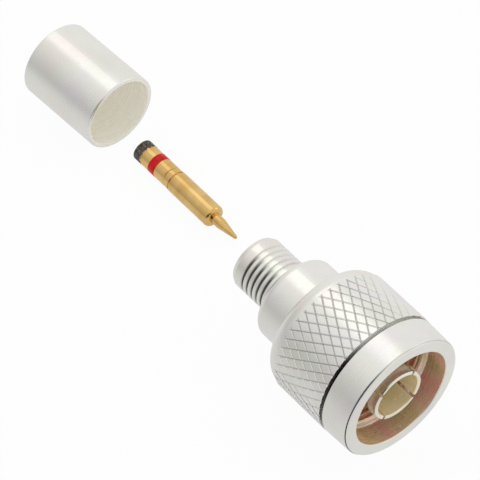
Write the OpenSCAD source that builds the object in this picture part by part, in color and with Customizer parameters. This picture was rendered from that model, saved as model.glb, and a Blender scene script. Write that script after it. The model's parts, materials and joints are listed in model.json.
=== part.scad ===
// Coaxial plug of the N family, crimp type, laid out as its three loose parts:
// the plug with its knurled coupling nut, the centre contact and the crimp ferrule.
// Units are millimetres. The plug's axis is X and the mating face looks along +X.
// x = 0 is where the coupling thread starts. Stations along a turned part are counted
// rearwards from its own front and run along -X; the nut's front face is station 0.

/* [Coupling nut] */
// Diameter over the knurl
nut_d = 20.3; // [20:0.1:21.2]
// Length of the nut from front face to back face
nut_len = 17.4; // [16.6:0.1:18.4]
// Length of the smooth band at the front
band_len = 4.7; // [4:0.05:5.2]
// How much smaller the band is at the front edge than at its back, on diameter
band_taper = 0.3; // [0.1:0.05:0.5]
// Step on diameter between the knurl and the band behind the front edge
band_step = 0.12; // [0.06:0.02:0.3]
// Width of the turned groove between band and knurl
groove_w = 0.55; // [0.4:0.05:1]
// Depth of that groove below the band
groove_depth = 0.7; // [0.5:0.05:0.95]
// Bevel on the outer edge of the front face
front_bevel = 0.3; // [0.15:0.05:0.5]
// Radius of the dome that leads from the knurl to the back face
back_round = 2.6; // [1.6:0.1:2.8]

/* [Knurl] */
// Number of grooves of each hand round the nut
knurl_starts = 42; // [36:1:46]
// Rows of half diamonds along the knurl
knurl_rows = 7; // [6:1:8]
// Width of a knurl groove across its open top
knurl_groove_w = 0.3; // [0.2:0.02:0.5]
// Depth of a knurl groove
knurl_depth = 0.24; // [0.15:0.01:0.35]
// Length over which the knurl runs out at each end
knurl_runout = 0.3; // [0.15:0.05:0.45]

/* [Nut bore] */
// Diameter of the plain mouth in front of the thread
mouth_d = 15.9; // [15.7:0.05:16.3]
// Depth of the plain mouth
mouth_depth = 3.6; // [3:0.1:4]
// Bevel at the edge of the mouth
mouth_bevel = 0.15; // [0.05:0.05:0.25]
// Crest (minor) diameter of the coupling thread
thread_d = 14.75; // [14.65:0.05:14.95]
// Length of the lead-in cone in front of the thread
thread_lead = 0.4; // [0.2:0.05:0.6]
// Diameter of the relief chamber behind the thread
chamber_d = 15.6; // [15.2:0.1:16]
// Length of the relief chamber in front of the body flange
chamber_lead = 0.5; // [0.3:0.1:0.8]

/* [Plug body] */
// Outer diameter of the body, also of the collar behind the nut
body_d = 13.3; // [12.9:0.05:13.4]
// Station of the rear face of the collar
collar_end = 23.2; // [22:0.1:24.5]
// Rounding of the collar's rear edge
collar_round = 1.2; // [0.6:0.1:1.6]
// Station of the front face of the thrust flange
flange_front = 10; // [9.6:0.1:10.3]
// Thickness of the thrust flange
flange_t = 1.2; // [0.9:0.1:1.4]
// Gap round the flange inside the thread
flange_gap = 0.33; // [0.3:0.01:0.4]
// Bevel at the front edge of the flange
flange_bevel = 0.15; // [0.05:0.05:0.25]
// Diameter of the pocket for the insulators
insulator_d = 9.2; // [8.8:0.1:9.6]
// Wall of the body left behind the insulator pocket
pocket_back = 2; // [1.2:0.1:3]

/* [Crimp stem] */
// Outer diameter of the stem
stem_d = 8.5; // [8.4:0.05:8.8]
// Bore of the stem, for the cable's dielectric
stem_bore_d = 7.3; // [7.1:0.05:7.4]
// Length of the stem behind the collar
stem_len = 7.95; // [7.8:0.05:9.5]
// Smooth lip at the stem's rear end
stem_lip = 2; // [1.5:0.1:2.1]
// Number of grooves that grip the braid
stem_grooves = 6; // [4:1:6]
// Spacing of those grooves
stem_pitch = 1; // [0.8:0.05:1]
// Width of a groove at the surface
stem_groove_w = 0.56; // [0.4:0.02:0.7]
// Depth of a groove
stem_groove_depth = 0.24; // [0.1:0.02:0.28]
// Length of the lip's taper, which slips under the braid
lip_taper_len = 0.7; // [0.4:0.1:1]
// Depth of that taper below the lip
lip_taper = 0.35; // [0.2:0.05:0.4]
// Bevel at the mouth of the stem's bore
stem_bevel = 0.08; // [0.04:0.01:0.12]

/* [Outer contact] */
// Bore of the slotted sleeve
sleeve_bore_d = 7; // [6.9:0.05:7.1]
// Outer diameter at the raised tip
tip_d = 8.26; // [8.1:0.02:8.4]
// Length of the raised tip
tip_len = 1.5; // [1:0.1:2.2]
// Outer diameter behind the tip
sleeve_d = 7.92; // [7.8:0.02:8.06]
// Distance of the sleeve's end behind the nut's front face
sleeve_recess = 0.7; // [0.4:0.05:1.2]
// Width of a slot
slot_w = 0.45; // [0.3:0.05:0.6]
// Length of a slot
slot_len = 6.4; // [5:0.1:7]
// Number of slots
slot_count = 4; // [3:1:6]
// Turn of the slots about the axis, in degrees
slot_turn = 40; // [0:1:89]
// Diameter of the flange at the sleeve's root
root_d = 10.8; // [10.4:0.1:11.2]
// Thickness of that flange
root_t = 1.9; // [1.5:0.1:2.2]
// Bevel on the edges of the tip
tip_bevel = 0.12; // [0.06:0.02:0.16]

/* [Gasket] */
// Thickness of the sealing ring on the flange
gasket_t = 1; // [0.7:0.05:1.2]
// Gap between gasket and sleeve
gasket_gap = 0.35; // [0.3:0.05:0.6]
// Distance of the gasket's edge inside the edge of the flange
gasket_inset = 0.2; // [0.1:0.05:0.5]

/* [Insulators] */
// Diameter of the front insulator's nose and of its seat in the sleeve's root
nose_d = 8.4; // [8:0.1:8.8]
// Length of that nose
nose_len = 1.3; // [1:0.1:1.5]
// Length of the front insulator's head behind the sleeve
head_len = 2.2; // [1.6:0.1:3]

/* [Retaining ring] */
// Width of the split ring along the axis
ring_w = 0.9; // [0.7:0.05:1.1]
// Thickness of the ring from bore to rim
ring_t = 0.85; // [0.8:0.05:0.9]
// Depth of its groove in the body
ring_groove_depth = 0.45; // [0.4:0.01:0.5]
// Distance from the nut's back face to the ring's middle
ring_inset = 3.2; // [2.6:0.1:4.2]
// Opening of the split
ring_split = 1.8; // [1:0.1:3]

/* [Fits] */
// Radial running clearance of the nut on the body
run_clear = 0.05; // [0.03:0.01:0.08]
// End play of the nut behind the flange
end_play = 0.1; // [0.05:0.01:0.2]
// Radial clearance of the contact in the insulators
contact_clear = 0.04; // [0.02:0.01:0.08]
// Side clearance of the ring in its groove
ring_clear = 0.05; // [0.02:0.01:0.1]
// Free space round the ring inside the nut
ring_free = 0.35; // [0.3:0.01:0.4]

/* [Centre contact] */
// Overall length of the contact
contact_len = 22; // [21:0.1:24]
// Diameter of the mating pin
pin_d = 1.66; // [1.6:0.01:1.7]
// Length of the pin in front of the shoulder
pin_len = 4.9; // [4.4:0.1:5.4]
// Length of the pin's taper
pin_taper = 3.5; // [2.5:0.1:3.9]
// Diameter of the pin's point
point_d = 0.56; // [0.3:0.02:0.8]
// Diameter of the barrel
barrel_d = 3.52; // [3.4:0.01:3.6]
// Rounding of the barrel's front shoulder
shoulder_round = 0.6; // [0.3:0.05:0.8]
// Station of the barrel's rear end, from the point
barrel_end = 13.8; // [13:0.1:14.4]
// Diameter of the crimp end
crimp_d = 3.4; // [3.3:0.01:3.48]
// Width of the neck between barrel and crimp end
neck_w = 0.22; // [0.15:0.01:0.3]
// Depth of the neck below the crimp end
neck_depth = 0.12; // [0.06:0.01:0.2]
// Distance of the turned line behind the neck
line_back = 0.85; // [0.6:0.05:1.2]
// Width of the turned line
line_w = 0.3; // [0.2:0.02:0.4]
// Depth of the turned line
line_depth = 0.14; // [0.06:0.01:0.2]
// Bore for the cable's centre conductor
wire_d = 2.8; // [2.6:0.01:2.85]
// Depth of that bore
wire_depth = 6.2; // [5:0.1:6.4]
// Bevel on the contact's small edges
contact_bevel = 0.1; // [0.04:0.01:0.12]

/* [Crimp ferrule] */
// Outer diameter of the ferrule
ferrule_d = 12.4; // [12:0.1:13]
// Wall of the ferrule
ferrule_wall = 0.72; // [0.55:0.01:0.9]
// Length of the ferrule
ferrule_len = 14.7; // [13:0.1:20]
// Rounding of the ferrule's rims, inside and out
rim_round = 0.22; // [0.1:0.01:0.26]

/* [Layout] */
// Gap along the row between the stem's end and the contact's point
gap_contact = 10.05; // [4:0.05:20]
// Sideways offset of the contact from the plug's axis
offset_contact = 5; // [0:0.1:8]
// Gap along the row between the contact's rear end and the ferrule
gap_ferrule = 4.55; // [2:0.05:12]
// Sideways offset of the ferrule from the plug's axis
offset_ferrule = 4.5; // [0:0.1:8]
// Turn of the ferrule on the surface, in degrees
turn_ferrule = 2.7; // [-5:0.1:5]

/* [Hidden] */
$fn = 96;
arc_steps = 8;
overlap = 0.2;          // how far the knurled ring reaches into the nut's back
cut_over = 1;           // how far a cutting tool stands clear of what it cuts

silver = [0.80, 0.80, 0.78];
silver_warm = [0.77, 0.76, 0.72];
spring_steel = [0.55, 0.55, 0.56];
gold = [0.83, 0.62, 0.25];
white_plastic = [0.94, 0.94, 0.91];
gasket_red = [0.80, 0.27, 0.16];

// nut
body_r = body_d / 2;
nut_r = nut_d / 2;
band_back_r = nut_r - band_step / 2;
band_front_r = band_back_r - band_taper / 2;
groove_r = band_back_r - groove_depth;
knurl_front = band_len + groove_w;
knurl_back = nut_len - back_round - knurl_runout / 2;
knurl_root_r = nut_r - knurl_depth;
shoulder_r = knurl_root_r + knurl_depth / 4;
mouth_r = mouth_d / 2;
thread_r = thread_d / 2;
chamber_r = chamber_d / 2;
chamber_front = flange_front - chamber_lead;
nut_shoulder = flange_front + flange_t + end_play;
rear_bore_r = body_r + run_clear;

// body
flange_r = thread_r - flange_gap;
flange_back = flange_front + flange_t;
root_r = root_d / 2;
root_back = flange_front + root_t;
insulator_r = insulator_d / 2;
pocket_end = collar_end - pocket_back;
stem_r = stem_d / 2;
stem_bore_r = stem_bore_d / 2;
stem_end = collar_end + stem_len;

// retaining ring
ring_mid = nut_len - ring_inset;
ring_floor_r = body_r - ring_groove_depth;
ring_in_r = ring_floor_r + ring_clear;
ring_out_r = ring_in_r + ring_t;
ring_room_r = ring_out_r + ring_free;
ring_room_w = ring_w + 2 * ring_free;

// outer contact and insulators
sleeve_bore_r = sleeve_bore_d / 2;
tip_r = tip_d / 2;
sleeve_r = sleeve_d / 2;
nose_r = nose_d / 2;
nose_front = root_back - nose_len;
head_back = root_back + head_len;
seat_r = barrel_d / 2 + contact_clear;

// contact and ferrule
barrel_r = barrel_d / 2;
pin_r = pin_d / 2;
point_r = point_d / 2;
crimp_r = crimp_d / 2;
wire_r = wire_d / 2;
crimp_front = barrel_end + neck_w;
line_front = crimp_front + line_back;
ferrule_r = ferrule_d / 2;
ferrule_in_r = ferrule_r - ferrule_wall;

// layout: everything lies on the surface that the nut lies on
datum = mouth_depth + thread_lead;
floor_z = -nut_r;
contact_x = -(stem_end + gap_contact);
ferrule_x = contact_x - contact_len - gap_ferrule;

// A turned part: the profile is a list of [radius, station]
module turned(profile) rotate([0, -90, 0]) rotate_extrude() polygon(profile);

// Moves the plug so that the coupling thread starts at x = 0
module placed() translate([datum, 0, 0]) children();

// Points of a quarter round from angle a to angle b about [r, s]
function round_corner(r, s, size, a, b) =
    [for (i = [0 : arc_steps]) let (t = a + (b - a) * i / arc_steps)
        [r + size * cos(t), s + size * sin(t)]];

// Knurl: lattice of groove crossings with one flat-topped diamond between each four
knurl_pitch = (knurl_back - knurl_front - 2 * knurl_runout) / knurl_rows;
knurl_step = 180 / knurl_starts;
knurl_half = PI * nut_r / knurl_starts;
knurl_slant = atan(knurl_half / knurl_pitch);
knurl_share = 1 - knurl_groove_w / (2 * knurl_half * cos(knurl_slant));
knurl_in_r = (groove_r + chamber_r) / 2;

function on_nut(r, column, s) = [r * cos(column * knurl_step), r * sin(column * knurl_step), s];
function row_s(j) = knurl_front + knurl_runout + j * knurl_pitch;
function wrap(k) = (k + knurl_starts) % knurl_starts;
function crossing(j, k) = j * knurl_starts + wrap(k);
function left_of(j, k) = j % 2 == 0 ? crossing(j, k) : crossing(j, k - 1);
function right_of(j, k) = j % 2 == 0 ? crossing(j, k + 1) : crossing(j, k);
function edge_left(j, k) = j % 2 == 0 ? k : wrap(k - 1);
function edge_right(j, k) = j % 2 == 0 ? wrap(k + 1) : k;

tops_at = (knurl_rows + 1) * knurl_starts;
function top(j, k, corner) = tops_at + 4 * (j * knurl_starts + wrap(k)) + corner;
rings_at = 5 * (knurl_rows + 1) * knurl_starts;
function ring_point(ring, k) = rings_at + ring * knurl_starts + wrap(k);

knurl_points = concat(
    [for (j = [0 : knurl_rows], k = [0 : knurl_starts - 1])
        on_nut(knurl_root_r, 2 * k + j % 2, row_s(j))],
    [for (j = [0 : knurl_rows], k = [0 : knurl_starts - 1], corner = [0 : 3])
        let (column = 2 * k + (j + 1) % 2,
             across = corner == 0 ? -knurl_share : corner == 1 ? knurl_share : 0,
             along = corner == 2 && j > 0 ? -knurl_share
                   : corner == 3 && j < knurl_rows ? knurl_share : 0)
        on_nut(nut_r, column + across, row_s(j) + along * knurl_pitch)],
    // four rings close the part: front rim, back rim, front bore, back bore
    [for (k = [0 : knurl_starts - 1]) on_nut(knurl_root_r, 2 * k, knurl_front)],
    [for (k = [0 : knurl_starts - 1])
        on_nut(knurl_root_r, 2 * k + knurl_rows % 2, knurl_back)],
    [for (k = [0 : knurl_starts - 1]) on_nut(knurl_in_r, 2 * k, knurl_front)],
    [for (k = [0 : knurl_starts - 1])
        on_nut(knurl_in_r, 2 * k + knurl_rows % 2, knurl_back + overlap)],
    [for (k = [0 : knurl_starts - 1])
        on_nut(knurl_root_r, 2 * k + knurl_rows % 2, knurl_back + overlap)]);

function fan(p) = [for (i = [1 : len(p) - 2]) [p[0], p[i], p[i + 1]]];

knurl_faces = concat(
    // flat tops
    [for (j = [0 : knurl_rows], k = [0 : knurl_starts - 1], half = [0, 1])
        half == 0 ? [top(j, k, 0), top(j, k, 3), top(j, k, 2)]
                  : [top(j, k, 2), top(j, k, 3), top(j, k, 1)]],
    // flanks towards the back
    [for (j = [0 : knurl_rows - 1], k = [0 : knurl_starts - 1], side = [0, 1],
          f = side == 0
            ? fan([left_of(j, k), crossing(j + 1, k), top(j, k, 3), top(j, k, 0)])
            : fan([crossing(j + 1, k), right_of(j, k), top(j, k, 1), top(j, k, 3)])) f],
    // flanks towards the front
    [for (j = [1 : knurl_rows], k = [0 : knurl_starts - 1], side = [0, 1],
          f = side == 0
            ? fan([right_of(j, k), crossing(j - 1, k), top(j, k, 2), top(j, k, 1)])
            : fan([crossing(j - 1, k), left_of(j, k), top(j, k, 0), top(j, k, 2)])) f],
    // run-out at the front
    [for (k = [0 : knurl_starts - 1],
          f = let (a = ring_point(0, edge_left(0, k)), b = ring_point(0, edge_right(0, k)))
              [[a, left_of(0, k), top(0, k, 0)], [a, top(0, k, 0), top(0, k, 2)],
               [a, top(0, k, 2), b], [b, top(0, k, 2), top(0, k, 1)],
               [b, top(0, k, 1), right_of(0, k)]]) f],
    // run-out at the back
    [for (k = [0 : knurl_starts - 1],
          f = let (n = knurl_rows,
                   a = ring_point(1, edge_left(n, k)), b = ring_point(1, edge_right(n, k)))
              [[a, top(n, k, 0), left_of(n, k)], [a, top(n, k, 3), top(n, k, 0)],
               [a, b, top(n, k, 3)], [b, top(n, k, 1), top(n, k, 3)],
               [b, right_of(n, k), top(n, k, 1)]]) f],
    // part hidden in the nut's back, end faces and bore
    [for (k = [0 : knurl_starts - 1], f = concat(
        fan([ring_point(1, k), ring_point(4, k), ring_point(4, k + 1), ring_point(1, k + 1)]),
        fan([ring_point(4, k), ring_point(3, k), ring_point(3, k + 1), ring_point(4, k + 1)]),
        fan([ring_point(0, k + 1), ring_point(2, k + 1), ring_point(2, k), ring_point(0, k)]),
        fan([ring_point(2, k + 1), ring_point(3, k + 1), ring_point(3, k), ring_point(2, k)])))
        f]);

// Coupling nut: turned blank with a domed back and the knurled ring joined to it
module coupling_nut() {
    color(silver) placed() {
        turned(concat(
            [[mouth_r + mouth_bevel, 0], [band_front_r - front_bevel, 0],
             [band_front_r, front_bevel], [band_back_r, band_len],
             [groove_r, band_len], [groove_r, knurl_back], [shoulder_r, knurl_back]],
            round_corner(shoulder_r - back_round, nut_len - back_round, back_round, 0, 90),
            [[rear_bore_r + mouth_bevel, nut_len], [rear_bore_r, nut_len - mouth_bevel],
             [rear_bore_r, ring_mid + ring_room_w / 2],
             [ring_room_r, ring_mid + ring_room_w / 2],
             [ring_room_r, ring_mid - ring_room_w / 2],
             [rear_bore_r, ring_mid - ring_room_w / 2],
             [rear_bore_r, nut_shoulder], [chamber_r, nut_shoulder],
             [chamber_r, chamber_front], [thread_r, chamber_front],
             [thread_r, mouth_depth + thread_lead], [mouth_r, mouth_depth],
             [mouth_r, mouth_bevel]]));
        rotate([0, -90, 0]) polyhedron(knurl_points, knurl_faces, convexity = 6);
    }
}

// Split spring ring that holds the nut on the body
module retaining_ring() {
    color(spring_steel) placed() difference() {
        turned([[ring_in_r, ring_mid - ring_w / 2], [ring_out_r, ring_mid - ring_w / 2],
                [ring_out_r, ring_mid + ring_w / 2], [ring_in_r, ring_mid + ring_w / 2]]);
        translate([-ring_mid, 0, ring_out_r])
            cube([ring_w + cut_over, ring_split, 2 * ring_out_r], center = true);
    }
}

function stem_groove_s(i) = stem_end - stem_lip - stem_groove_w / 2 - i * stem_pitch;

// Body: thrust flange, ring groove, collar and grooved crimp stem
module plug_body() {
    color(silver_warm) placed() turned(concat(
        [[root_r, flange_front], [flange_r - flange_bevel, flange_front],
         [flange_r, flange_front + flange_bevel], [flange_r, flange_back],
         [body_r, flange_back],
         [body_r, ring_mid - ring_w / 2 - ring_clear],
         [ring_floor_r, ring_mid - ring_w / 2 - ring_clear],
         [ring_floor_r, ring_mid + ring_w / 2 + ring_clear],
         [body_r, ring_mid + ring_w / 2 + ring_clear]],
        round_corner(body_r - collar_round, collar_end - collar_round, collar_round, 0, 90),
        [[stem_r, collar_end]],
        [for (i = [stem_grooves - 1 : -1 : 0], p = [-0.5, -0.2, 0.2, 0.5])
            [abs(p) > 0.3 ? stem_r : stem_r - stem_groove_depth,
             stem_groove_s(i) + p * stem_groove_w]],
        [[stem_r, stem_end - lip_taper_len], [stem_r - lip_taper, stem_end],
         [stem_bore_r + stem_bevel, stem_end], [stem_bore_r, stem_end - stem_bevel],
         [stem_bore_r, pocket_end], [insulator_r, pocket_end],
         [insulator_r, root_back], [root_r, root_back]]));
}

// Slotted spring sleeve; its root flange is let into the body and seats the insulator's nose
module outer_contact() {
    tip_front = sleeve_recess;
    tip_back = sleeve_recess + tip_len;
    color(silver) placed() difference() {
        turned([[sleeve_bore_r, tip_front + tip_bevel], [sleeve_bore_r + tip_bevel, tip_front],
                [tip_r - tip_bevel, tip_front], [tip_r, tip_front + tip_bevel],
                [tip_r, tip_back], [sleeve_r, tip_back + (tip_r - sleeve_r)],
                [sleeve_r, flange_front], [root_r, flange_front],
                [root_r, root_back], [nose_r, root_back],
                [nose_r, nose_front], [sleeve_bore_r, nose_front]]);
        for (i = [0 : slot_count - 1])
            rotate([-slot_turn - i * 360 / slot_count, 0, 0])
                translate([-(sleeve_recess + slot_len), -slot_w / 2, sleeve_bore_r - cut_over])
                    cube([slot_len + cut_over, slot_w, tip_r - sleeve_bore_r + 2 * cut_over]);
    }
}

// Flat sealing ring on the flange
module gasket() {
    color(gasket_red) placed()
        turned([[sleeve_r + gasket_gap, flange_front - gasket_t],
                [flange_r - gasket_inset, flange_front - gasket_t],
                [flange_r - gasket_inset, flange_front], [sleeve_r + gasket_gap, flange_front]]);
}

// Insulator with its nose in the sleeve's root and its head in the body
module front_insulator() {
    color(white_plastic) placed()
        turned([[seat_r, nose_front], [nose_r, nose_front], [nose_r, root_back],
                [insulator_r, root_back], [insulator_r, head_back], [seat_r, head_back]]);
}

// Insulator that fills the rest of the pocket
module rear_insulator() {
    color(white_plastic) placed()
        turned([[seat_r, head_back], [insulator_r, head_back],
                [insulator_r, pocket_end], [seat_r, pocket_end]]);
}

// Centre contact: pin, barrel, neck and crimp end with the bore for the wire
module centre_contact() {
    shoulder_s = pin_len;
    color(gold) placed() translate([contact_x, offset_contact, floor_z + barrel_r]) difference() {
        turned(concat(
            [[0, 0]],
            round_corner(0, point_r, point_r, -75, -10),
            [[pin_r, pin_taper], [pin_r, shoulder_s]],
            round_corner(barrel_r - shoulder_round, shoulder_s + shoulder_round,
                         shoulder_round, -90, 0),
            [[barrel_r, barrel_end - contact_bevel], [barrel_r - contact_bevel, barrel_end],
             [crimp_r - neck_depth, barrel_end], [crimp_r - neck_depth, crimp_front],
             [crimp_r, crimp_front], [crimp_r, line_front],
             [crimp_r - line_depth, line_front + line_w / 3],
             [crimp_r - line_depth, line_front + line_w * 2 / 3],
             [crimp_r, line_front + line_w],
             [crimp_r, contact_len - contact_bevel], [crimp_r - contact_bevel, contact_len],
             [0, contact_len]]));
        translate([-contact_len - cut_over, 0, 0]) rotate([0, 90, 0])
            cylinder(r = wire_r, h = wire_depth + cut_over);
    }
}

// Crimp ferrule: a plain tube with rounded rims
module crimp_ferrule() {
    color(silver) placed() translate([ferrule_x, offset_ferrule, floor_z + ferrule_r])
        rotate([0, 0, turn_ferrule])
            turned(concat(
                round_corner(ferrule_in_r + rim_round, rim_round, rim_round, 180, 270),
                round_corner(ferrule_r - rim_round, rim_round, rim_round, 270, 360),
                round_corner(ferrule_r - rim_round, ferrule_len - rim_round, rim_round, 0, 90),
                round_corner(ferrule_in_r + rim_round, ferrule_len - rim_round,
                             rim_round, 90, 180)));
}

coupling_nut();
retaining_ring();
plug_body();
outer_contact();
gasket();
front_insulator();
rear_insulator();
centre_contact();
crimp_ferrule();
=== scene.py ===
# %% [markdown]
# # A coaxial crimp plug, laid out in its three parts
#
# The real product is a small turned connector: a knurled coupling nut that spins on a
# grooved body, a gold plated centre contact and a plain crimp ferrule. They lie loose in
# a row on a white table. The solids of all parts arrive ready made, in metres, in one
# shared frame, so this lesson is about finish: camera, light, plated metal, and the few
# shapes that turned solids leave out, such as the coupling thread and the paint bands.

# %% [markdown]
# ## Loading
#
# The imported part could be imported by hand from its mesh files. What a new file starts
# with is deleted first.

# %% Load the imported part
import json
import math
import random

import bpy
from mathutils import Matrix, Vector

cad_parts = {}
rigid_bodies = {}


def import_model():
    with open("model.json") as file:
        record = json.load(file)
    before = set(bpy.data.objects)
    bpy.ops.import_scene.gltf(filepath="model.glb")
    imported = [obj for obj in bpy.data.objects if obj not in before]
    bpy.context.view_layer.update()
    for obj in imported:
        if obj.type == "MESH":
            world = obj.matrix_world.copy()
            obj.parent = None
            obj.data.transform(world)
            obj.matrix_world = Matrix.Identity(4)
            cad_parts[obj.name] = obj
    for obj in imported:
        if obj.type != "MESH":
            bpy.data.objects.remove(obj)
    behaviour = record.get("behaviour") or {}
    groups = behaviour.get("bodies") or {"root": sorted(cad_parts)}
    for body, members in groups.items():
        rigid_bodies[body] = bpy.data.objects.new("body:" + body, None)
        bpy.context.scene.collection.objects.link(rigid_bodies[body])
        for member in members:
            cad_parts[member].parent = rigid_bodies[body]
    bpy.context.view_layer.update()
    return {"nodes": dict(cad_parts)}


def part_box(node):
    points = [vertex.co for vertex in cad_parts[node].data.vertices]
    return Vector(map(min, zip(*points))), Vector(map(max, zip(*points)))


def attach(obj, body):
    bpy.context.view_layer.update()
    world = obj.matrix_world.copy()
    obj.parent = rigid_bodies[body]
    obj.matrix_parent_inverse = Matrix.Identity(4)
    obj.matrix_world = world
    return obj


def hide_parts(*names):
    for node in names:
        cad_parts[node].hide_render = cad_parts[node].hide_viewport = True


bpy.ops.object.select_all(action="SELECT")
bpy.ops.object.delete()
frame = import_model()
nodes = frame["nodes"]
print("nodes:", ", ".join(sorted(nodes)))

# %% [markdown]
# ## Units and where things are
#
# Everything on a turned part is easiest to say as a station, counted rearwards from the
# part's own front, and a radius. The plug's axis is the X axis, and its coupling thread
# starts at the origin, so a station only has to be turned into an X.

# %% Millimetres and stations
MM = 0.001
nut_lo, nut_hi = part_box("coupling_nut")
nut_front_x = nut_hi.x
floor_z = nut_lo.z
nut_r = nut_hi.z
contact_lo, contact_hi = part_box("centre_contact")
ferrule_lo, ferrule_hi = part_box("crimp_ferrule")


def at_station(station_mm):
    """The X of a station behind the nut's front face."""
    return nut_front_x - station_mm * MM


print("nut radius", round(nut_r / MM, 2), "mm, floor at", round(floor_z / MM, 2), "mm")

# %% [markdown]
# ## Camera
#
# A long lens from well above keeps the circles close to true ellipses, as catalogue
# pictures of small parts have them. The lens could be guessed and the camera dragged
# until it looks right. Here the viewing direction is built from three plain angles, so
# that each can be changed by itself.

# %% Set the camera
AIM = Vector((-37.76, 6.11, -10.15)) * MM
DISTANCE = 434.6 * MM
AZIMUTH, ELEVATION, ROLL = (math.radians(a) for a in (50.42, 50.33, 0.34))

ahead = Vector((-math.sin(AZIMUTH) * math.cos(ELEVATION),
                math.cos(AZIMUTH) * math.cos(ELEVATION), -math.sin(ELEVATION)))
level = ahead.cross(Vector((0, 0, 1))).normalized()
upright = level.cross(ahead)
right = math.cos(ROLL) * level + math.sin(ROLL) * upright
above = math.cos(ROLL) * upright - math.sin(ROLL) * level

camera = bpy.data.objects.new("camera", bpy.data.cameras.new("camera"))
bpy.context.scene.collection.objects.link(camera)
camera.data.lens, camera.data.sensor_width = 225, 36
camera.data.clip_start, camera.data.clip_end = 0.01, 20
turn = Matrix((right, above, -ahead)).transposed()
camera.matrix_world = Matrix.Translation(AIM - ahead * DISTANCE) @ turn.to_4x4()
bpy.context.scene.camera = camera
bpy.context.scene.view_settings.view_transform = "Standard"
print("camera at mm:", [round(v / MM, 1) for v in camera.location])

# %% [markdown]
# ## Modelling helpers
#
# Most pieces are lathe work. By hand one would add a circle, then extrude and resize it
# from station to station along the axis. The helper below does exactly that from a list
# of radius and station. The other helpers select one object, pick the vertices, edges
# or faces that lie where a test says, close a mesh up, apply a modifier, and print what
# was made.

# %% Select and pick
PICK_MODES = {"VERT": (True, False, False), "EDGE": (False, True, False),
              "FACE": (False, False, True)}


def only(piece):
    """Leaves edit mode, selects one object and makes it active."""
    if bpy.context.object and bpy.context.object.mode == "EDIT":
        bpy.ops.object.mode_set(mode="OBJECT")
    bpy.ops.object.select_all(action="DESELECT")
    piece.select_set(True)
    bpy.context.view_layer.objects.active = piece


def pick(piece, kind, test):
    """Opens edit mode with the elements selected whose corners all pass the test."""
    only(piece)
    bpy.ops.object.mode_set(mode="EDIT")
    bpy.context.tool_settings.mesh_select_mode = PICK_MODES[kind]
    bpy.ops.mesh.select_all(action="DESELECT")
    bpy.ops.object.mode_set(mode="OBJECT")
    mesh = piece.data
    items = {"VERT": mesh.vertices, "EDGE": mesh.edges, "FACE": mesh.polygons}[kind]
    for item in items:
        corners = [item.index] if kind == "VERT" else item.vertices
        item.select = all(test(mesh.vertices[i].co / MM) for i in corners)
    count = sum(item.select for item in items)
    bpy.ops.object.mode_set(mode="EDIT")
    return count


def close_up(piece, gap=0.001):
    """Merges doubles, turns the faces outwards and goes back to object mode."""
    only(piece)
    bpy.ops.object.mode_set(mode="EDIT")
    bpy.ops.mesh.select_all(action="SELECT")
    bpy.ops.mesh.remove_doubles(threshold=gap * MM)
    bpy.ops.mesh.normals_make_consistent(inside=False)
    bpy.ops.object.mode_set(mode="OBJECT")
    return piece


def apply_modifier(piece, kind, **settings):
    """Adds one modifier with its settings and applies it."""
    only(piece)
    modifier = piece.modifiers.new(kind.lower(), kind)
    for key, value in settings.items():
        setattr(modifier, key, value)
    bpy.ops.object.modifier_apply(modifier=modifier.name)


def report(piece):
    """Prints the size of a piece's mesh and how many of its edges are open."""
    mesh = piece.data
    uses = {}
    for face in mesh.polygons:
        for key in face.edge_keys:
            uses[key] = uses.get(key, 0) + 1
    open_edges = sum(1 for n in uses.values() if n != 2)
    print(piece.name, len(mesh.polygons), "faces,", open_edges, "open edges")


print("modelling helpers ready")


# %% Turn a profile
EDGE_ANGLE, SMOOTH_ANGLE = math.radians(25), math.radians(35)


def turned(name, profile, segments=192, edge=0.0):
    """Lathe work about the X axis from a closed list of (radius, station) in mm."""
    bpy.ops.object.select_all(action="DESELECT")
    radius, station = profile[0]
    bpy.ops.mesh.primitive_circle_add(vertices=segments, radius=radius * MM,
                                      location=(at_station(station), 0, 0),
                                      rotation=(0, math.pi / 2, 0))
    piece = bpy.context.object
    piece.name = name
    bpy.ops.object.transform_apply(location=True, rotation=True, scale=True)
    bpy.ops.object.mode_set(mode="EDIT")
    bpy.ops.mesh.select_all(action="SELECT")
    for (r0, s0), (r1, s1) in zip(profile, profile[1:] + profile[:1]):
        bpy.ops.mesh.extrude_edges_move(
            TRANSFORM_OT_translate={"value": ((s0 - s1) * MM, 0, 0)})
        bpy.ops.transform.resize(value=(1, r1 / r0, r1 / r0),
                                 center_override=(at_station(s1), 0, 0))
    bpy.ops.object.mode_set(mode="OBJECT")
    close_up(piece)
    if edge:
        only(piece)
        bpy.ops.object.shade_smooth_by_angle(angle=EDGE_ANGLE)
        apply_modifier(piece, "BEVEL", width=edge * MM, segments=2, harden_normals=True,
                       limit_method="ANGLE", angle_limit=EDGE_ANGLE)
    else:
        bpy.ops.object.shade_smooth_by_angle(angle=SMOOTH_ANGLE)
    return piece


def arc(radius, station, size, start, end, steps):
    """Points of a quarter round in a profile, by angles in degrees."""
    angles = [math.radians(start + (end - start) * i / steps) for i in range(steps + 1)]
    return [(radius + size * math.cos(a), station + size * math.sin(a)) for a in angles]


print("lathe ready")

# %% [markdown]
# ## Coupling nut
#
# The real nut is turned from bar, knurled, threaded inside and plated. Its blank is
# lathe work with softened edges: face, smooth band, narrow groove, domed back and
# stepped bore. The knurled zone of the blank lies hidden under the knurled ring that the
# next step makes. One mesh could hold both, but two closed shells that overlap a little
# are far easier to change.

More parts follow.
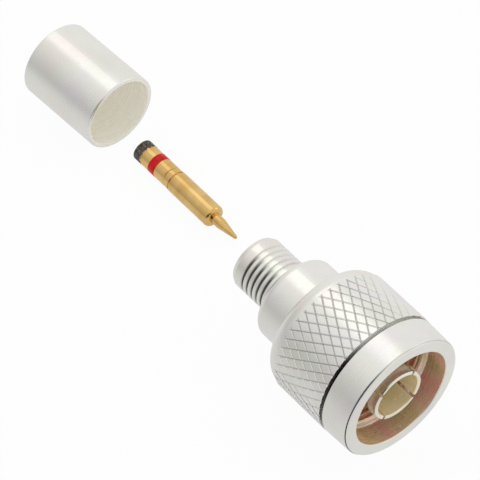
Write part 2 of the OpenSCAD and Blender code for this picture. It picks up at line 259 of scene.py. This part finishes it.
# %% Nut blank
NUT_R, NUT_LEN = 10.15, 17.4
BAND_END, KNURL_START, KNURL_END = 4.7, 5.25, 14.65
BAND_R, BAND_FRONT_R, GROOVE_R, CORE_R = 10.09, 9.94, 9.39, 9.76
FACE_R, STEP_R = 9.55, 9.80
WALL_R, CREST_R = 7.95, 7.375
CHAMBER_R, CHAMBER_START, CHAMBER_END = 7.8, 9.5, 11.3
REAR_BORE_R, CHAMFER = 6.7, 0.15
DOME, DOME_DROP = 2.6, 0.19

outside = [(WALL_R + 0.13, 0), (FACE_R, 0), (STEP_R, 0.12), (STEP_R, 0.27),
           (BAND_FRONT_R, 0.33), (BAND_R, BAND_END), (GROOVE_R, BAND_END),
           (GROOVE_R, KNURL_START), (CORE_R, KNURL_START + 0.1),
           (CORE_R, KNURL_END - 0.2)]
dome = arc(NUT_R - DOME_DROP - DOME, NUT_LEN - DOME, DOME, 0, 90, 20)
inside = [(REAR_BORE_R + CHAMFER, NUT_LEN), (REAR_BORE_R, NUT_LEN - CHAMFER),
          (REAR_BORE_R, CHAMBER_END), (CHAMBER_R, CHAMBER_END),
          (CHAMBER_R, CHAMBER_START), (WALL_R, CHAMBER_START), (WALL_R, 0.13)]
nut_blank = turned("nut_blank", outside + dome + inside, edge=0.05)
report(nut_blank)

# %% [markdown]
# ## Diamond knurl
#
# A knurling tool rolls two crossing sets of fine grooves and leaves flat-topped
# diamonds. It could be a bump pattern, but in outline and in glancing light real grooves
# read better. One diamond is modelled flat: a square turned on its corner, inset by half
# a groove and pushed down round its edge. Arrays repeat it, bisect cuts the sheet to
# length, and a bend of a full turn rolls it into a ring.

# %% One diamond
STARTS, ROWS, RUN_OUT = 42, 7, 0.3
GROOVE_W, GROOVE_DEPTH, TOP_EDGE = 0.23, 0.20, 0.03
RING_WALL, TOP_CUTS, KNURL_SMOOTH = 0.3, 3, math.radians(22)
SEAM, NEAR, ON_INNER_WALL = 0.004, 0.002, 0.003
half_w = math.pi * NUT_R / STARTS
half_h = (KNURL_END - KNURL_START - 2 * RUN_OUT) / ROWS
sheet_len = 2 * STARTS * half_w

bpy.ops.object.select_all(action="DESELECT")
bpy.ops.mesh.primitive_plane_add(size=math.sqrt(2), rotation=(math.pi / 2, 0, 0))
knurl = bpy.context.object
knurl.name = "nut_knurl"
bpy.ops.object.transform_apply(rotation=True)
pick(knurl, "VERT", lambda co: True)
bpy.ops.transform.rotate(value=math.pi / 4, orient_axis="Y", center_override=(0, 0, 0))
bpy.ops.transform.resize(value=(half_w * MM, 1, half_h * MM), center_override=(0, 0, 0))
bpy.ops.transform.translate(value=(0, GROOVE_DEPTH * MM, 0))
bpy.ops.mesh.inset(thickness=GROOVE_W / 2 * MM)
bpy.ops.transform.translate(value=(0, (TOP_EDGE / 2 - GROOVE_DEPTH) * MM, 0))
pick(knurl, "FACE", lambda co: co.y < GROOVE_DEPTH / 2)
bpy.ops.mesh.inset(thickness=TOP_EDGE * MM)
bpy.ops.transform.translate(value=(0, -TOP_EDGE / 2 * MM, 0))
bpy.ops.mesh.subdivide(number_cuts=TOP_CUTS)
bpy.ops.mesh.select_all(action="SELECT")
bpy.ops.mesh.duplicate_move(
    TRANSFORM_OT_translate={"value": (half_w * MM, 0, half_h * MM)})
bpy.ops.mesh.select_all(action="SELECT")
bpy.ops.transform.translate(value=(0, 0, -2 * half_h * MM))
bpy.ops.object.mode_set(mode="OBJECT")
report(knurl)

# %% Repeat, trim and wall the sheet
for axis, count, step in ((0, STARTS + 1, 2 * half_w), (2, ROWS // 2 + 3, 2 * half_h)):
    offset = [0, 0, 0]
    offset[axis] = step * MM
    apply_modifier(knurl, "ARRAY", use_relative_offset=False, use_constant_offset=True,
                   constant_offset_displace=offset, count=count,
                   use_merge_vertices=True, merge_threshold=NEAR * MM)
ends = (-RUN_OUT, ROWS * half_h + RUN_OUT)
cuts = (((1, 0, 0), (0, 0, 0), True), ((1, 0, 0), (sheet_len, 0, 0), False),
        ((0, 0, 1), (0, 0, ends[0]), True), ((0, 0, 1), (0, 0, ends[1]), False))
for normal, at, far_side in cuts:
    pick(knurl, "VERT", lambda co: True)
    bpy.ops.mesh.bisect(plane_co=[v * MM for v in at], plane_no=normal,
                        clear_inner=far_side, clear_outer=not far_side,
                        threshold=0.0001 * MM)
    bpy.ops.object.mode_set(mode="OBJECT")
for end in ends:
    count = pick(knurl, "EDGE", lambda co: abs(co.z - end) < NEAR)
    bpy.ops.mesh.extrude_edges_move()
    foot = (0, (GROOVE_DEPTH + RING_WALL) * MM, end * MM)
    bpy.ops.transform.resize(value=(1, 0, 1), center_override=foot)
    bpy.ops.object.mode_set(mode="OBJECT")
    print("end wall from", count, "edges")

# %% Roll the sheet into a ring
apply_modifier(knurl, "SIMPLE_DEFORM", deform_method="BEND", deform_axis="Z",
               angle=2 * math.pi)
pick(knurl, "VERT", lambda co: True)
bpy.ops.mesh.remove_doubles(threshold=SEAM * MM)
bpy.ops.object.mode_set(mode="OBJECT")
xs = [v.co.x for v in knurl.data.vertices]
ys = [v.co.y for v in knurl.data.vertices]
middle = Vector(((min(xs) + max(xs)) / 2, (min(ys) + max(ys)) / 2, 0))
inner = min((v.co - middle).xy.length for v in knurl.data.vertices) / MM
pick(knurl, "EDGE",
     lambda co: (co - middle / MM).xy.length < inner + ON_INNER_WALL)
bpy.ops.mesh.bridge_edge_loops()
bpy.ops.object.mode_set(mode="OBJECT")
only(knurl)
knurl.location = -middle
bpy.ops.object.transform_apply(location=True)
knurl.rotation_euler = (0, -math.pi / 2, 0)
knurl.location = (at_station(KNURL_START + RUN_OUT), 0, 0)
bpy.ops.object.transform_apply(location=True, rotation=True)
close_up(knurl)
bpy.ops.object.shade_smooth_by_angle(angle=KNURL_SMOOTH)
report(knurl)

# %% [markdown]
# ## Coupling thread
#
# Inside the nut runs a right-handed thread of 24 turns to the inch. The solids leave it
# as a plain bore, and light in the mouth shows it as fine lines. It is a real helix here:
# the section of one ridge, wound by a screw modifier, with its first turn cut back by
# the lead-in cone that lets the two parts find each other. A separate turned ring gives
# the bright edge where the thread begins.

# %% Thread ridge
PITCH, TURNS, THREAD_STEPS = 1.058, 6, 96
THREAD_START, LEAD_LEN = 3.6, 0.8
RIDGE_START = THREAD_START - 0.95
ROOT_HALF, CREST_HALF, SUNK = 0.456, 0.13, 0.02
bpy.ops.object.select_all(action="DESELECT")
bpy.ops.mesh.primitive_plane_add(size=2, rotation=(math.pi / 2, 0, 0))
thread = bpy.context.object
thread.name = "nut_thread"
bpy.ops.object.transform_apply(rotation=True)
for vertex in thread.data.vertices:
    wide = vertex.co.z > 0
    half = ROOT_HALF if wide else CREST_HALF
    vertex.co = Vector((math.copysign(half, vertex.co.x), 0,
                        WALL_R + SUNK if wide else CREST_R)) * MM
apply_modifier(thread, "SCREW", axis="X", screw_offset=-PITCH * MM, angle=-2 * math.pi,
               iterations=TURNS, steps=THREAD_STEPS, render_steps=THREAD_STEPS)
thread.location.x = at_station(RIDGE_START)
only(thread)
bpy.ops.object.transform_apply(location=True)
first_x, last_x = (sign(v.co.x for v in thread.data.vertices) / MM for sign in (max, min))
for end_x in (first_x - ROOT_HALF, last_x + ROOT_HALF):
    pick(thread, "EDGE", lambda co: abs(co.y) < NEAR and co.z > 0
         and abs(co.x - end_x) < ROOT_HALF + 0.04)
    bpy.ops.mesh.edge_face_add()
close_up(thread)
report(thread)

# %% Lead-in
CUT_INNER, CUT_OUTER = 0.5, 8.3
cone = turned("lead_cone", [(CUT_INNER, RIDGE_START - 0.6),
                            (CUT_OUTER, RIDGE_START - 0.6),
                            (CUT_OUTER, THREAD_START), (WALL_R - 0.03, THREAD_START),
                            (CREST_R - 0.05, THREAD_START + LEAD_LEN),
                            (CUT_INNER, THREAD_START + LEAD_LEN)],
              segments=THREAD_STEPS)
only(thread)
apply_modifier(thread, "BOOLEAN", operation="DIFFERENCE", object=cone, solver="EXACT")
bpy.data.objects.remove(cone)
lead_ring = turned("nut_lead_ring", [(WALL_R + 0.1, THREAD_START),
                                     (WALL_R - 0.12, THREAD_START),
                                     (CREST_R + 0.12, THREAD_START + 0.75),
                                     (CREST_R + 0.12, THREAD_START + 0.95),
                                     (WALL_R + 0.1, THREAD_START + 1.25)], edge=0.03)
only(thread)
bpy.ops.object.shade_smooth_by_angle(angle=SMOOTH_ANGLE)
report(thread)
report(lead_ring)

# %% The nut's pieces ride on the nut
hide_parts("coupling_nut")
for piece in (nut_blank, knurl, thread, lead_ring):
    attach(piece, "nut")
print("nut pieces ride on the nut")

# %% [markdown]
# ## Materials: a few helpers
#
# Node trees can be wired by hand in the shader editor. The same wiring in code is
# shorter with one helper that adds a node, sets it and joins its inputs, and a few for
# noise, ramps and mixed colours. Every pattern starts from Object coordinates, so that it
# sits still on the part whichever way the part is looked at.

# %% Node helpers
def start_material(name):
    """A new material and its empty node tree with an output."""
    material = bpy.data.materials.new(name)
    material.use_nodes = True
    tree = material.node_tree
    tree.nodes.clear()
    return material, tree


def add(tree, kind, inputs=None, **settings):
    """Adds a node. Settings are its properties, inputs are numbers or sockets."""
    node = tree.nodes.new(kind)
    for key, value in settings.items():
        setattr(node, key, value)
    for key, value in (inputs or {}).items():
        if isinstance(value, bpy.types.NodeSocket):
            tree.links.new(value, node.inputs[key])
        else:
            node.inputs[key].default_value = value
    return node


def place(tree, scale=(1, 1, 1), centre=(0, 0, 0), yaw=0.0):
    """Object coordinates about a centre, turned back by a yaw, in units of 1 / scale."""
    coords = add(tree, "ShaderNodeTexCoord")
    spot = add(tree, "ShaderNodeVectorMath",
               {0: coords.outputs["Object"], 1: centre}, operation="SUBTRACT").outputs[0]
    if yaw:
        spot = add(tree, "ShaderNodeVectorRotate", {"Vector": spot, "Angle": -yaw},
                   rotation_type="Z_AXIS").outputs[0]
    return add(tree, "ShaderNodeVectorMath", {0: spot, 1: scale},
               operation="MULTIPLY").outputs[0]


def noise(tree, vector, detail=2.0, roughness=0.5):
    """Noise at the scale that its vector already has."""
    return add(tree, "ShaderNodeTexNoise",
               {"Vector": vector, "Scale": 1.0, "Detail": detail,
                "Roughness": roughness}).outputs[0]


def ramp(tree, value, stops):
    """A colour ramp. Stops are (position, colour) with grey allowed as one number."""
    node = add(tree, "ShaderNodeValToRGB", {0: value})
    band = node.color_ramp
    while len(band.elements) < len(stops):
        band.elements.new(0.5)
    for element, (position, colour) in zip(band.elements, stops):
        element.position = position
        colour = (colour,) * 3 if isinstance(colour, (int, float)) else colour
        element.color = (*colour, 1)
    return node.outputs[0]


def blend_colour(tree, factor, a, b, how="MIX"):
    """Mixes two colours."""
    node = add(tree, "ShaderNodeMix", data_type="RGBA", blend_type=how)
    for socket, value in ((0, factor), (6, a), (7, b)):
        if isinstance(value, bpy.types.NodeSocket):
            tree.links.new(value, node.inputs[socket])
        elif isinstance(value, (int, float)):
            node.inputs[socket].default_value = value
        else:
            node.inputs[socket].default_value = (*value, 1)
    return node.outputs[2]


def finish_material(tree, shader):
    """Wires the shader to the output."""
    out = add(tree, "ShaderNodeOutputMaterial")
    tree.links.new(shader.outputs[0], out.inputs["Surface"])


print("helpers ready")

# %% [markdown]
# ## Silver plate
#
# The nut, the body, the sleeve and the ferrule are turned brass under bright silver
# plate. Plated silver is nearly white, slightly warm, and never a perfect mirror: lathe
# marks run round it, the plate has soft clouds of tarnish, and handling leaves faint
# marks. A flat metallic shader would look like chrome, so roughness, colour and bump
# each get their own noise, and the turned marks are a noise stretched round the axis.
# Inside a bore the colour is a painted reflection: warm streaks that stand in for the red
# sealing ring and the silver mirrored there, on plate made less metallic. The grooves get
# painted shade, in the nut's groove and the stem's grooves fuller on the near side than on
# the far side. Both are told from the spot's distance to the axis.

# %% Colours and scales of the silver plate
SILVER = (0.900, 0.885, 0.850)
SILVER_TARNISH = (0.800, 0.765, 0.700)
SILVER_TINTS = [(0.34, (0.985, 0.965, 1.0)), (0.45, (1.0, 1.0, 1.0)),
                (0.56, (0.975, 1.0, 0.965)), (0.66, (1.0, 0.965, 0.955))]
# Painted shade: the colours that the knurl, the nut's groove and the stem's grooves darken
# to.
KNURL_PAINTED_SHADE, GROOVE_PAINTED_SHADE, STEM_PAINTED_SHADE = (0.76,) * 3, (0.03,) * 3, (0.10,) * 3
# Painted reflections: the warm and pale streaks inside the bores of the nut, the sleeve
# and the ferrule, and on the nut's lead ring.
BORE_PAINTED_REFLECTION = ((1.00, 0.58, 0.46), (0.95, 0.69, 0.48), (0.80, 0.66, 0.36))
SLEEVE_PAINTED_REFLECTION = ((0.97, 0.84, 0.56), (0.99, 0.88, 0.62), (0.94, 0.83, 0.54))
FERRULE_PAINTED_REFLECTION = ((1.00, 0.97, 0.88), (1.00, 0.98, 0.90), (0.99, 0.97, 0.86))
STREAK_STOPS = (0.41, 0.50, 0.60)
CLOUD_SCALE, SPECK_SCALE = (90, 90, 90), (1400, 1400, 1400)
LATHE_SCALE, STREAK_SCALE = (9000, 60, 60), (60, 230, 230)
TINT_SCALE, TINT_SHIFT = (160, 150, 140), (0.01, 0.02, 0.03)
print("silver:", SILVER, "tarnished:", SILVER_TARNISH)


# %% Painted shade in a groove
def painted_shade_share(tree, radius, spots, groove, shaded_side):
    """How much of a spot gets painted shade. A groove is (low radius, high radius,
    station, half its width), in mm. The shaded side is (full at Y, thin at Y, thin share):
    the painted shade is full on one side and thins towards the other."""
    low, high, station, half = groove
    depth = add(tree, "ShaderNodeMapRange", {0: radius, 1: high, 2: low})
    zone = add(tree, "ShaderNodeMath",
               {0: spots[0], 1: at_station(station), 2: half * MM}, operation="COMPARE")
    painted_shade = add(tree, "ShaderNodeMath", {0: depth.outputs[0], 1: zone.outputs[0]},
                operation="MULTIPLY")
    if shaded_side:
        full_y, thin_y, thin = shaded_side
        share = add(tree, "ShaderNodeMapRange",
                    {0: spots[1], 1: full_y * MM, 2: thin_y * MM, 3: 1.0, 4: thin},
                    interpolation_type="SMOOTHSTEP")
        painted_shade = add(tree, "ShaderNodeMath", {0: painted_shade.outputs[0], 1: share.outputs[0]},
                    operation="MULTIPLY")
    return painted_shade.outputs[0]


print("grime helper ready")


# %% Inside of a bore
def bore_share(tree, radius, spots, bore, bore_end):
    """One inside the bore's radius and before its last station, nought elsewhere."""
    within = add(tree, "ShaderNodeMapRange", {0: radius, 1: bore + 0.03, 2: bore - 0.03})
    before = add(tree, "ShaderNodeMath", {0: spots[0], 1: at_station(bore_end)},
                 operation="GREATER_THAN")
    return add(tree, "ShaderNodeMath", {0: within.outputs[0], 1: before.outputs[0]},
               operation="MULTIPLY").outputs[0]


def painted_bore_reflection(tree, axis, tints):
    """Painted reflection: warm streaks that run along a bore."""
    streaks = noise(tree, place(tree, STREAK_SCALE, axis), 2.0, 0.6)
    return ramp(tree, streaks, list(zip(STREAK_STOPS, tints)))


print("bore helpers ready")


# %% Silver plate material
def silver_plate(name, rough=0.24, marks=0.5, grooves=(), shaded_side=None, bore=None,
                 bore_end=100, bore_reflection=BORE_PAINTED_REFLECTION, dull=1.0, axis=(0, 0, 0), yaw=0.0):
    """Plated silver. Each groove darkens to its last item, a colour of painted shade.
    Inside the bore radius the colour is a painted reflection, and dull is how metallic
    it is there."""
    material, tree = start_material(name)
    clouds = noise(tree, place(tree, CLOUD_SCALE), 3.0, 0.6)
    tint = noise(tree, place(tree, TINT_SCALE, TINT_SHIFT), 1.0)
    lathe = noise(tree, place(tree, LATHE_SCALE), 2.0, 0.7)
    specks = noise(tree, place(tree, SPECK_SCALE), 2.0, 0.7)
    colour = blend_colour(tree, ramp(tree, clouds, [(0.40, 0), (0.75, 0.55)]),
                          SILVER, SILVER_TARNISH)
    colour = blend_colour(tree, 1.0, colour, ramp(tree, tint, SILVER_TINTS), "MULTIPLY")
    about = place(tree, (0, 1 / MM, 1 / MM), axis, yaw)
    radius = add(tree, "ShaderNodeVectorMath", {0: about}, operation="LENGTH").outputs[1]
    spots = add(tree, "ShaderNodeSeparateXYZ", {0: place(tree)}).outputs
    # Painted shade: each groove darkens towards its colour.
    for *groove, dark in grooves:
        share = painted_shade_share(tree, radius, spots, groove, shaded_side)
        colour = blend_colour(tree, share, colour, dark)
    metal = 1.0
    # Painted reflection inside the bore.
    if bore:
        inside = bore_share(tree, radius, spots, bore, bore_end)
        colour = blend_colour(tree, inside, colour, painted_bore_reflection(tree, axis, bore_reflection))
        metal = add(tree, "ShaderNodeMapRange", {0: inside, 3: 1.0, 4: dull}).outputs[0]
    streaky = add(tree, "ShaderNodeMapRange",
                  {0: lathe, 1: 0.3, 2: 0.7, 3: rough * 0.88, 4: rough * 1.15})
    roughness = add(tree, "ShaderNodeMath",
                    {0: streaky.outputs[0],
                     1: ramp(tree, specks, [(0.62, 0), (0.75, 0.12)])}, operation="ADD")
    turning = add(tree, "ShaderNodeBump", {"Strength": marks, "Distance": 0.012 * MM,
                                           "Height": lathe})
    grain = add(tree, "ShaderNodeBump", {"Strength": 0.35, "Distance": 0.015 * MM,
                                         "Height": specks,
                                         "Normal": turning.outputs[0]})
    shader = add(tree, "ShaderNodeBsdfPrincipled",
                 {"Base Color": colour, "Metallic": metal,
                  "Roughness": roughness.outputs[0], "Normal": grain.outputs[0]})
    finish_material(tree, shader)
    return material


print("silver plate ready")

# %% The silver finishes
# The knurl's grooves get painted shade all round.
nut_silver = silver_plate("nut_silver", 0.26, 0.35,
                          grooves=[(9.96, 10.13, 10, 10, KNURL_PAINTED_SHADE)])
# The nut's groove and the line at its front edge get painted shade, fuller on the near
# side; its bore gets a painted reflection.
bore_silver = silver_plate("bore_silver", 0.26, 0.04, bore=8.0, dull=0.5, bore_end=15,
                           grooves=[(9.5, 10.02, 5, 0.28, GROOVE_PAINTED_SHADE),
                                    (9.82, 9.95, 0.24, 0.08, GROOVE_PAINTED_SHADE)],
                           shaded_side=(-6.5, -1.5, 0.2))
# The lead ring lies wholly inside its bore radius, so all of it gets a pale painted
# reflection.
lead_silver = silver_plate("lead_silver", 0.24, 0.1, bore=8.2, dull=0.3,
                           bore_reflection=FERRULE_PAINTED_REFLECTION)
# The stem's grooves get painted shade, fuller on the near side.
body_silver = silver_plate("body_silver", 0.26, 0.25,
                           grooves=[(4.02, 4.22, 27, 3.4, STEM_PAINTED_SHADE)],
                           shaded_side=(-2.6, -0.6, 0.06))
# The sleeve's bore gets a painted reflection.
sleeve_silver = silver_plate("sleeve_silver", 0.22, 0.4, bore=3.75, dull=0.4,
                             bore_reflection=SLEEVE_PAINTED_REFLECTION)
# The ferrule's bore gets a pale painted reflection.
ferrule_silver = silver_plate("ferrule_silver", 0.27, 0.08, bore=5.85, dull=0.1,
                              bore_reflection=FERRULE_PAINTED_REFLECTION, yaw=math.radians(2.7),
                              axis=(ferrule_lo + ferrule_hi) / 2)
print("silver materials: nut, body, sleeve, ferrule")

# %% [markdown]
# ## Gold, paint, plastic, rubber and spring steel
#
# The contact is gold over nickel, a little softer than a mirror and drawn lengthwise by
# the light. The two bands are brushed on paint: the red one glossy, the black one dry and
# broken at its edge. Inside the plug are turned fluoroplastic insulators, a silicone
# sealing ring and a spring steel ring, which show only through the nut's mouth.

# %% Gold plate
def gold_plate(name):
    """Bright gold plate with fine turned marks."""
    material, tree = start_material(name)
    clouds = noise(tree, place(tree, (500, 300, 300)), 2.0)
    lathe = noise(tree, place(tree, (12000, 200, 200)), 2.0, 0.7)
    colour = blend_colour(tree, ramp(tree, clouds, [(0.35, 0), (0.7, 1)]),
                          (0.810, 0.550, 0.215), (0.700, 0.440, 0.145))
    rough = add(tree, "ShaderNodeMapRange",
                {0: lathe, 1: 0.3, 2: 0.7, 3: 0.10, 4: 0.22})
    marks = add(tree, "ShaderNodeBump", {"Strength": 0.4, "Distance": 0.01 * MM,
                                         "Height": lathe})
    finish_material(tree, add(tree, "ShaderNodeBsdfPrincipled",
                              {"Base Color": colour, "Metallic": 1.0,
                               "Roughness": rough.outputs[0],
                               "Normal": marks.outputs[0]}))
    return material


gold = gold_plate("contact_gold")
print("gold ready")


# %% Plastic, rubber and paint
def moulded(name, base, shade, rough, scale, bump, shine=0.5):
    """A non-metal with a mottled colour and a fine surface."""
    material, tree = start_material(name)
    mottle = noise(tree, place(tree, (scale,) * 3), 3.0, 0.6)
    fine = noise(tree, place(tree, (scale * 8,) * 3), 2.0, 0.6)
    colour = blend_colour(tree, ramp(tree, mottle, [(0.35, 0), (0.7, 1)]), base, shade)
    roughness = add(tree, "ShaderNodeMapRange",
                    {0: fine, 1: 0.3, 2: 0.7, 3: rough * 0.8, 4: rough * 1.2})
    grain = add(tree, "ShaderNodeBump", {"Strength": bump, "Distance": 0.03 * MM,
                                         "Height": fine})
    finish_material(tree, add(tree, "ShaderNodeBsdfPrincipled",
                              {"Base Color": colour, "Roughness": roughness.outputs[0],
                               "Specular IOR Level": shine,
                               "Normal": grain.outputs[0]}))
    return material


fluoroplastic = moulded("insulator_plastic", (0.86, 0.86, 0.83), (0.78, 0.78, 0.74),
                        0.45, 900, 0.3)
silicone = moulded("seal_rubber", (0.62, 0.14, 0.06), (0.50, 0.10, 0.05), 0.50, 700, 0.3)
red_paint = moulded("red_paint", (0.74, 0.010, 0.008), (0.52, 0.005, 0.006),
                    0.22, 1200, 0.2, 0.2)
black_paint = moulded("black_paint", (0.004, 0.004, 0.004), (0.200, 0.165, 0.130),
                      0.45, 3000, 1.0, 0.3)
spring_steel = silver_plate("ring_steel", 0.30, 0.3)
print("plastic, rubber, paints and spring steel ready")

# %% [markdown]
# ## Paint bands on the contact
#
# Two brushed bands tell the contact's type: a glossy red one and a dry black one at the
# very end. They could be a colour in the gold's nodes. But paint has thickness, and its
# edge is never quite straight, so each band is a thin turned shell that stands a little
# proud, with its rim vertices moved a little along the axis.

# %% Paint bands
PAINT_SEGMENTS = 120
PAINT_INNER, PAINT_RIM, PAINT_R = 1.67, 1.712, 1.722


def paint_band(name, start, end, ragged, seed, material):
    """A shell of paint between two stations from the contact's point, in mm."""
    front = (nut_front_x - contact_hi.x) / MM
    profile = [(PAINT_INNER, start), (PAINT_RIM, start), (PAINT_R, start + 0.03),
               (PAINT_R, (start + end) / 2), (PAINT_R, end - 0.03), (PAINT_RIM, end),
               (PAINT_INNER, end)]
    band = turned(name, [(r, s + front) for r, s in profile], segments=PAINT_SEGMENTS)
    draw = random.Random(seed)
    moves = [draw.uniform(-ragged, ragged) * MM for _ in range(PAINT_SEGMENTS)]
    rim_x = at_station(start + front + 0.04)
    for vertex in band.data.vertices:
        if vertex.co.x > rim_x:
            around = math.atan2(vertex.co.y, vertex.co.z) / (2 * math.pi)
            vertex.co.x += moves[round(around * PAINT_SEGMENTS) % PAINT_SEGMENTS]
    pick(band, "VERT", lambda co: True)
    bpy.ops.transform.translate(value=(0, (contact_lo.y + contact_hi.y) / 2,
                                       (contact_lo.z + contact_hi.z) / 2))
    bpy.ops.object.mode_set(mode="OBJECT")
    band.data.materials.append(material)
    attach(band, "plug")
    report(band)
    return band


paint_band("contact_red_band", 17.2, 18.6, 0.02, 3, red_paint)
paint_band("contact_black_band", 20.45, 21.93, 0.2, 5, black_paint)

# %% [markdown]
# ## Dressing
#
# Every solid and every new piece now gets its finish. The solids came with a plain
# material in their slots, which is cleared. Their meshes are left alone.

# %% Dress the solids
finishes = {
    "coupling_nut": nut_silver,
    "retaining_ring": spring_steel,
    "plug_body": body_silver,
    "outer_contact": sleeve_silver,
    "gasket": silicone,
    "front_insulator": fluoroplastic,
    "rear_insulator": fluoroplastic,
    "centre_contact": gold,
    "crimp_ferrule": ferrule_silver,
}
for name, material in finishes.items():
    slots = nodes[name].data.materials
    slots.clear()
    slots.append(material)
    print(name, "->", material.name)

# %% Dress the nut's new pieces
for piece, material in ((nut_blank, bore_silver), (knurl, nut_silver),
                        (thread, bore_silver), (lead_ring, lead_silver)):
    piece.data.materials.append(material)
    print(piece.name, "->", material.name)

# %% [markdown]
# ## Table, tent and lamps
#
# Small silver parts look best in a white tent: a pale table, a broad lamp above, and
# dimmer walls, so that each cylinder shows soft bright and grey bands. The world stands
# in for the tent. Metal sees its walls as a gradient, with one dark opening that draws
# thin dark lines on edges. To all else it gives plain light. The table is white where it
# is looked at, a little dimmer in reflections on the near side, and clear from below.

# %% Table
WHITE_SHARE, MATT_WHITE = 0.95, 0.93
NEAR_Y, FAR_Y = -0.08, 0.08
MIRRORED = [(0.0, 0.58), (0.25, 0.66), (0.47, 0.76), (0.6, 0.84), (1.0, 0.86)]
bpy.ops.mesh.primitive_plane_add(size=6, location=(0, 0, floor_z))
floor = bpy.context.object
floor.name = "floor"
material, tree = start_material("table_white")
path = add(tree, "ShaderNodeLightPath")
seen = add(tree, "ShaderNodeMath", {0: path.outputs["Is Camera Ray"],
                                    1: path.outputs["Is Glossy Ray"]}, operation="MAXIMUM")
part_white = add(tree, "ShaderNodeMath", {0: seen.outputs[0], 1: WHITE_SHARE},
                 operation="MULTIPLY")
matt = add(tree, "ShaderNodeBsdfDiffuse", {"Color": (MATT_WHITE,) * 3 + (1,)})
across = add(tree, "ShaderNodeSeparateXYZ", {0: place(tree)}).outputs[1]
depth = add(tree, "ShaderNodeMapRange", {0: across, 1: NEAR_Y, 2: FAR_Y})
mirrored = ramp(tree, depth.outputs[0], MIRRORED)
glow = blend_colour(tree, path.outputs["Is Camera Ray"], mirrored, (1, 1, 1))
white = add(tree, "ShaderNodeEmission", {"Color": glow, "Strength": 1.0})
mixed = add(tree, "ShaderNodeMixShader", {0: part_white.outputs[0], 1: matt.outputs[0],
                                          2: white.outputs[0]})
below = add(tree, "ShaderNodeNewGeometry").outputs["Backfacing"]
clear = add(tree, "ShaderNodeBsdfTransparent")
finish_material(tree, add(tree, "ShaderNodeMixShader",
                          {0: below, 1: mixed.outputs[0], 2: clear.outputs[0]}))
floor.data.materials.append(material)
print("table at", round(floor_z / MM, 2), "mm")

# %% World
NEAR_WALL = [(0.0, 0.52), (0.12, 0.55), (0.41, 0.63), (0.65, 0.75), (0.81, 0.85),
             (1.0, 0.90)]
FAR_WALL, OPENING_DARK, PLAIN_LIGHT = (0.87,) * 3, (0.035, 0.035, 0.038), (0.80,) * 3
OPENING = (0.70, -0.66, 0.24)
world = bpy.data.worlds.new("tent")
bpy.context.scene.world = world
world.use_nodes = True
tree = world.node_tree
tree.nodes.clear()
direction = add(tree, "ShaderNodeTexCoord").outputs["Generated"]
parts = add(tree, "ShaderNodeSeparateXYZ", {0: direction}).outputs
far_side = add(tree, "ShaderNodeMapRange", {0: parts[1], 1: -0.35, 2: 0.20})
walls = blend_colour(tree, far_side.outputs[0], ramp(tree, parts[2], NEAR_WALL), FAR_WALL)
towards = add(tree, "ShaderNodeVectorMath", {0: direction, 1: OPENING},
              operation="DOT_PRODUCT")
shade = add(tree, "ShaderNodeMapRange", {0: towards.outputs["Value"], 1: 0.82, 2: 0.93},
            interpolation_type="SMOOTHSTEP")
walls = blend_colour(tree, shade.outputs[0], walls, OPENING_DARK)
path = add(tree, "ShaderNodeLightPath")
tent = blend_colour(tree, path.outputs["Is Glossy Ray"], PLAIN_LIGHT, walls)
tent = blend_colour(tree, path.outputs["Is Camera Ray"], tent, (1, 1, 1))
glow = add(tree, "ShaderNodeBackground", {"Color": tent, "Strength": 1.0})
out = add(tree, "ShaderNodeOutputWorld")
tree.links.new(glow.outputs[0], out.inputs["Surface"])
print("tent ready")


# %% Lamps
def lamp(name, x, y, z, size, watts):
    """A square area lamp at a place in mm, aimed at the middle of the row."""
    data = bpy.data.lights.new(name, "AREA")
    data.size, data.energy = size * MM, watts
    item = bpy.data.objects.new(name, data)
    bpy.context.scene.collection.objects.link(item)
    item.location = Vector((x, y, z)) * MM
    item.rotation_euler = (AIM - item.location).to_track_quat("-Z", "Y").to_euler()
    return item


lamp("lamp_above", -260, 90, 420, 260, 0.075)
lamp("lamp_side", 120, 320, 200, 160, 0.06)
print("two lamps")
